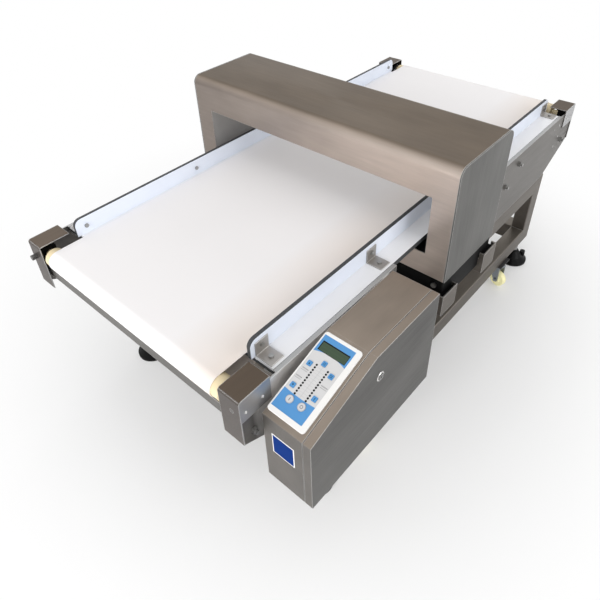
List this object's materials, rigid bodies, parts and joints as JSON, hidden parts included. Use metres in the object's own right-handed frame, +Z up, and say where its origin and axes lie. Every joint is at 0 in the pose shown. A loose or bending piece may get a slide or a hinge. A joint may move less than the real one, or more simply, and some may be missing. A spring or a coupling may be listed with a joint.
{
  "type": "conveyor metal detector",
  "caption": "Belt conveyor on a stainless tube frame that carries food packs through an arched metal detector head, with a sloping keypad box on the operator's side",
  "frame": {"origin": "middle of the outer box, on the floor under the feet", "axes": "+X along the belt from the keypad end, +Z up, -Y the operator's side with the control box"},
  "size_m": [1.3623, 0.819, 0.676],
  "materials": {
    "belt_white": "smooth food-grade belt cover",
    "nylon_cream": "turned nylon",
    "stainless_bright": "turned stainless",
    "bed_white": "polyethylene plate",
    "guide_white": "polyethylene strip",
    "bracket_steel": "brushed stainless",
    "screw_steel": "bright stainless",
    "plate_steel": "brushed stainless",
    "cover_steel": "brushed stainless",
    "bearing_black": "moulded housing",
    "motor_grey": "grey paint",
    "pulley_aluminium": "turned",
    "belt_black": "smooth",
    "head_steel": "brushed along the head",
    "end_plate_steel": "brushed upright",
    "liner_grey": "smooth",
    "coil_copper": "varnished copper",
    "base_black": "fine matt",
    "frame_steel": "brushed along the tube",
    "rubber_black": "matt",
    "foot_black": "moulded",
    "caster_black": "black",
    "caster_zinc": "zinc plated",
    "wheel_cream": "moulded nylon",
    "box_steel": "brushed",
    "lock_chrome": "polished",
    "bezel_white": "satin film",
    "display_glass": "dull green",
    "board_green": "board and parts",
    "key_blue": "embossed film",
    "button_grey": "embossed film"
  },
  "bodies": {
    "base": {"conveyor_belt": "belt_white", "slider_bed": "bed_white", "side_guides": "guide_white", "guide_brackets": "bracket_steel", "guide_screws": "screw_steel", "side_plates": "plate_steel", "end_covers": "cover_steel", "bearing_blocks": "bearing_black", "take_up_screws": "screw_steel", "spreader_bars": "stainless_bright", "side_studs": "screw_steel", "end_strip": "plate_steel", "gear_motor": "motor_grey", "motor_bracket": "plate_steel", "drive_belt": "belt_black", "head_shell": "head_steel", "head_end_plates": "end_plate_steel", "tunnel_liner": "liner_grey", "head_coils": "coil_copper", "head_base": "base_black", "base_screws": "screw_steel", "head_channels": "frame_steel", "head_pads": "rubber_black", "side_frames": "frame_steel", "cross_rails": "frame_steel", "foot_pads": "foot_black", "foot_studs": "screw_steel", "caster_plates": "caster_black", "box_body": "box_steel", "hinge_pins": "screw_steel", "keypad_bezel": "bezel_white", "display": "display_glass", "circuit_board": "board_green", "box_brackets": "plate_steel", "cable_gland": "rubber_black"},
    "drive": {"drive_roller": "nylon_cream", "roller_pulley": "pulley_aluminium"},
    "tail": {"tail_roller": "nylon_cream"},
    "infeed": {"infeed_idler": "stainless_bright"},
    "outfeed": {"outfeed_idler": "stainless_bright"},
    "motor": {"motor_shaft": "stainless_bright", "motor_pulley": "pulley_aluminium"},
    "door": {"box_door": "box_steel", "lock_ring": "lock_chrome"},
    "lock": {"cam_lock": "lock_chrome"},
    "fork_near_left": {"caster_fork_near_left": "caster_zinc"},
    "wheel_near_left": {"caster_wheel_near_left": "wheel_cream"},
    "fork_near_right": {"caster_fork_near_right": "caster_zinc"},
    "wheel_near_right": {"caster_wheel_near_right": "wheel_cream"},
    "fork_far_left": {"caster_fork_far_left": "caster_zinc"},
    "wheel_far_left": {"caster_wheel_far_left": "wheel_cream"},
    "fork_far_right": {"caster_fork_far_right": "caster_zinc"},
    "wheel_far_right": {"caster_wheel_far_right": "wheel_cream"},
    "key_up_cap": {"key_up": "key_blue"},
    "key_menu_cap": {"key_menu": "key_blue"},
    "key_set_cap": {"key_set": "key_blue"},
    "key_down_cap": {"key_down": "key_blue"},
    "key_enter_cap": {"key_enter": "key_blue"},
    "button_start_cap": {"button_start": "button_grey"},
    "button_stop_cap": {"button_stop": "button_grey"}
  },
  "joints": [
    {"name": "drive_roller_spin", "type": "hinge", "parent": "base", "child": "drive", "pos_m": [0.65835, 0.0245, 0.4672], "axis": [0, 1, 0], "continuous": true},
    {"name": "tail_roller_spin", "type": "hinge", "parent": "base", "child": "tail", "pos_m": [-0.64665, 0.0245, 0.4672], "axis": [0, 1, 0], "continuous": true},
    {"name": "infeed_idler_spin", "type": "hinge", "parent": "base", "child": "infeed", "pos_m": [-0.25615, 0.0245, 0.4452], "axis": [0, 1, 0], "continuous": true},
    {"name": "outfeed_idler_spin", "type": "hinge", "parent": "base", "child": "outfeed", "pos_m": [0.19985, 0.0245, 0.4452], "axis": [0, 1, 0], "continuous": true},
    {"name": "motor_spin", "type": "hinge", "parent": "base", "child": "motor", "pos_m": [0.42267, 0.0245, 0.39], "axis": [0, 1, 0], "continuous": true},
    {"name": "door_hinge", "type": "hinge", "parent": "base", "child": "door", "pos_m": [-0.45315, -0.39, 0.2698], "axis": [1, 0, 0], "range_deg": [0, 110]},
    {"name": "lock_turn", "type": "hinge", "parent": "door", "child": "lock", "pos_m": [-0.45415, -0.4065, 0.449], "axis": [0, -1, 0], "range_deg": [0, 90]},
    {"name": "caster_swivel_near_left", "type": "hinge", "parent": "base", "child": "fork_near_left", "pos_m": [-0.32815, 0.3225, 0.065], "axis": [0, 0, 1], "continuous": true},
    {"name": "caster_roll_near_left", "type": "hinge", "parent": "fork_near_left", "child": "wheel_near_left", "pos_m": [-0.33281, 0.30511, 0.028], "axis": [-0.9659, 0.2588, 0], "continuous": true},
    {"name": "caster_swivel_near_right", "type": "hinge", "parent": "base", "child": "fork_near_right", "pos_m": [-0.32815, -0.2735, 0.065], "axis": [0, 0, 1], "continuous": true},
    {"name": "caster_roll_near_right", "type": "hinge", "parent": "fork_near_right", "child": "wheel_near_right", "pos_m": [-0.33281, -0.29089, 0.028], "axis": [-0.9659, 0.2588, 0], "continuous": true},
    {"name": "caster_swivel_far_left", "type": "hinge", "parent": "base", "child": "fork_far_left", "pos_m": [0.38885, 0.3225, 0.065], "axis": [0, 0, 1], "continuous": true},
    {"name": "caster_roll_far_left", "type": "hinge", "parent": "fork_far_left", "child": "wheel_far_left", "pos_m": [0.38419, 0.30511, 0.028], "axis": [-0.9659, 0.2588, 0], "continuous": true},
    {"name": "caster_swivel_far_right", "type": "hinge", "parent": "base", "child": "fork_far_right", "pos_m": [0.38885, -0.2735, 0.065], "axis": [0, 0, 1], "continuous": true},
    {"name": "caster_roll_far_right", "type": "hinge", "parent": "fork_far_right", "child": "wheel_far_right", "pos_m": [0.38419, -0.29089, 0.028], "axis": [-0.9659, 0.2588, 0], "continuous": true},
    {"name": "key_up_press", "type": "slide", "parent": "base", "child": "key_up_cap", "axis": [0.3162, 0, -0.9487], "range_m": [0, 0.0006], "stiffness_N_per_m": 200, "springref_m": -0.0015},
    {"name": "key_menu_press", "type": "slide", "parent": "base", "child": "key_menu_cap", "axis": [0.3162, 0, -0.9487], "range_m": [0, 0.0006], "stiffness_N_per_m": 200, "springref_m": -0.0015},
    {"name": "key_set_press", "type": "slide", "parent": "base", "child": "key_set_cap", "axis": [0.3162, 0, -0.9487], "range_m": [0, 0.0006], "stiffness_N_per_m": 200, "springref_m": -0.0015},
    {"name": "key_down_press", "type": "slide", "parent": "base", "child": "key_down_cap", "axis": [0.3162, 0, -0.9487], "range_m": [0, 0.0006], "stiffness_N_per_m": 200, "springref_m": -0.0015},
    {"name": "key_enter_press", "type": "slide", "parent": "base", "child": "key_enter_cap", "axis": [0.3162, 0, -0.9487], "range_m": [0, 0.0006], "stiffness_N_per_m": 200, "springref_m": -0.0015},
    {"name": "button_start_press", "type": "slide", "parent": "base", "child": "button_start_cap", "axis": [0.3162, 0, -0.9487], "range_m": [0, 0.0006], "stiffness_N_per_m": 200, "springref_m": -0.0015},
    {"name": "button_stop_press", "type": "slide", "parent": "base", "child": "button_stop_cap", "axis": [0.3162, 0, -0.9487], "range_m": [0, 0.0006], "stiffness_N_per_m": 200, "springref_m": -0.0015}
  ],
  "couplings": [
    {"joint": "tail_roller_spin", "follows": "drive_roller_spin", "ratio": 1},
    {"joint": "infeed_idler_spin", "follows": "drive_roller_spin", "ratio": -1.4},
    {"joint": "outfeed_idler_spin", "follows": "drive_roller_spin", "ratio": -1.4},
    {"joint": "motor_spin", "follows": "drive_roller_spin", "ratio": 1}
  ]
}
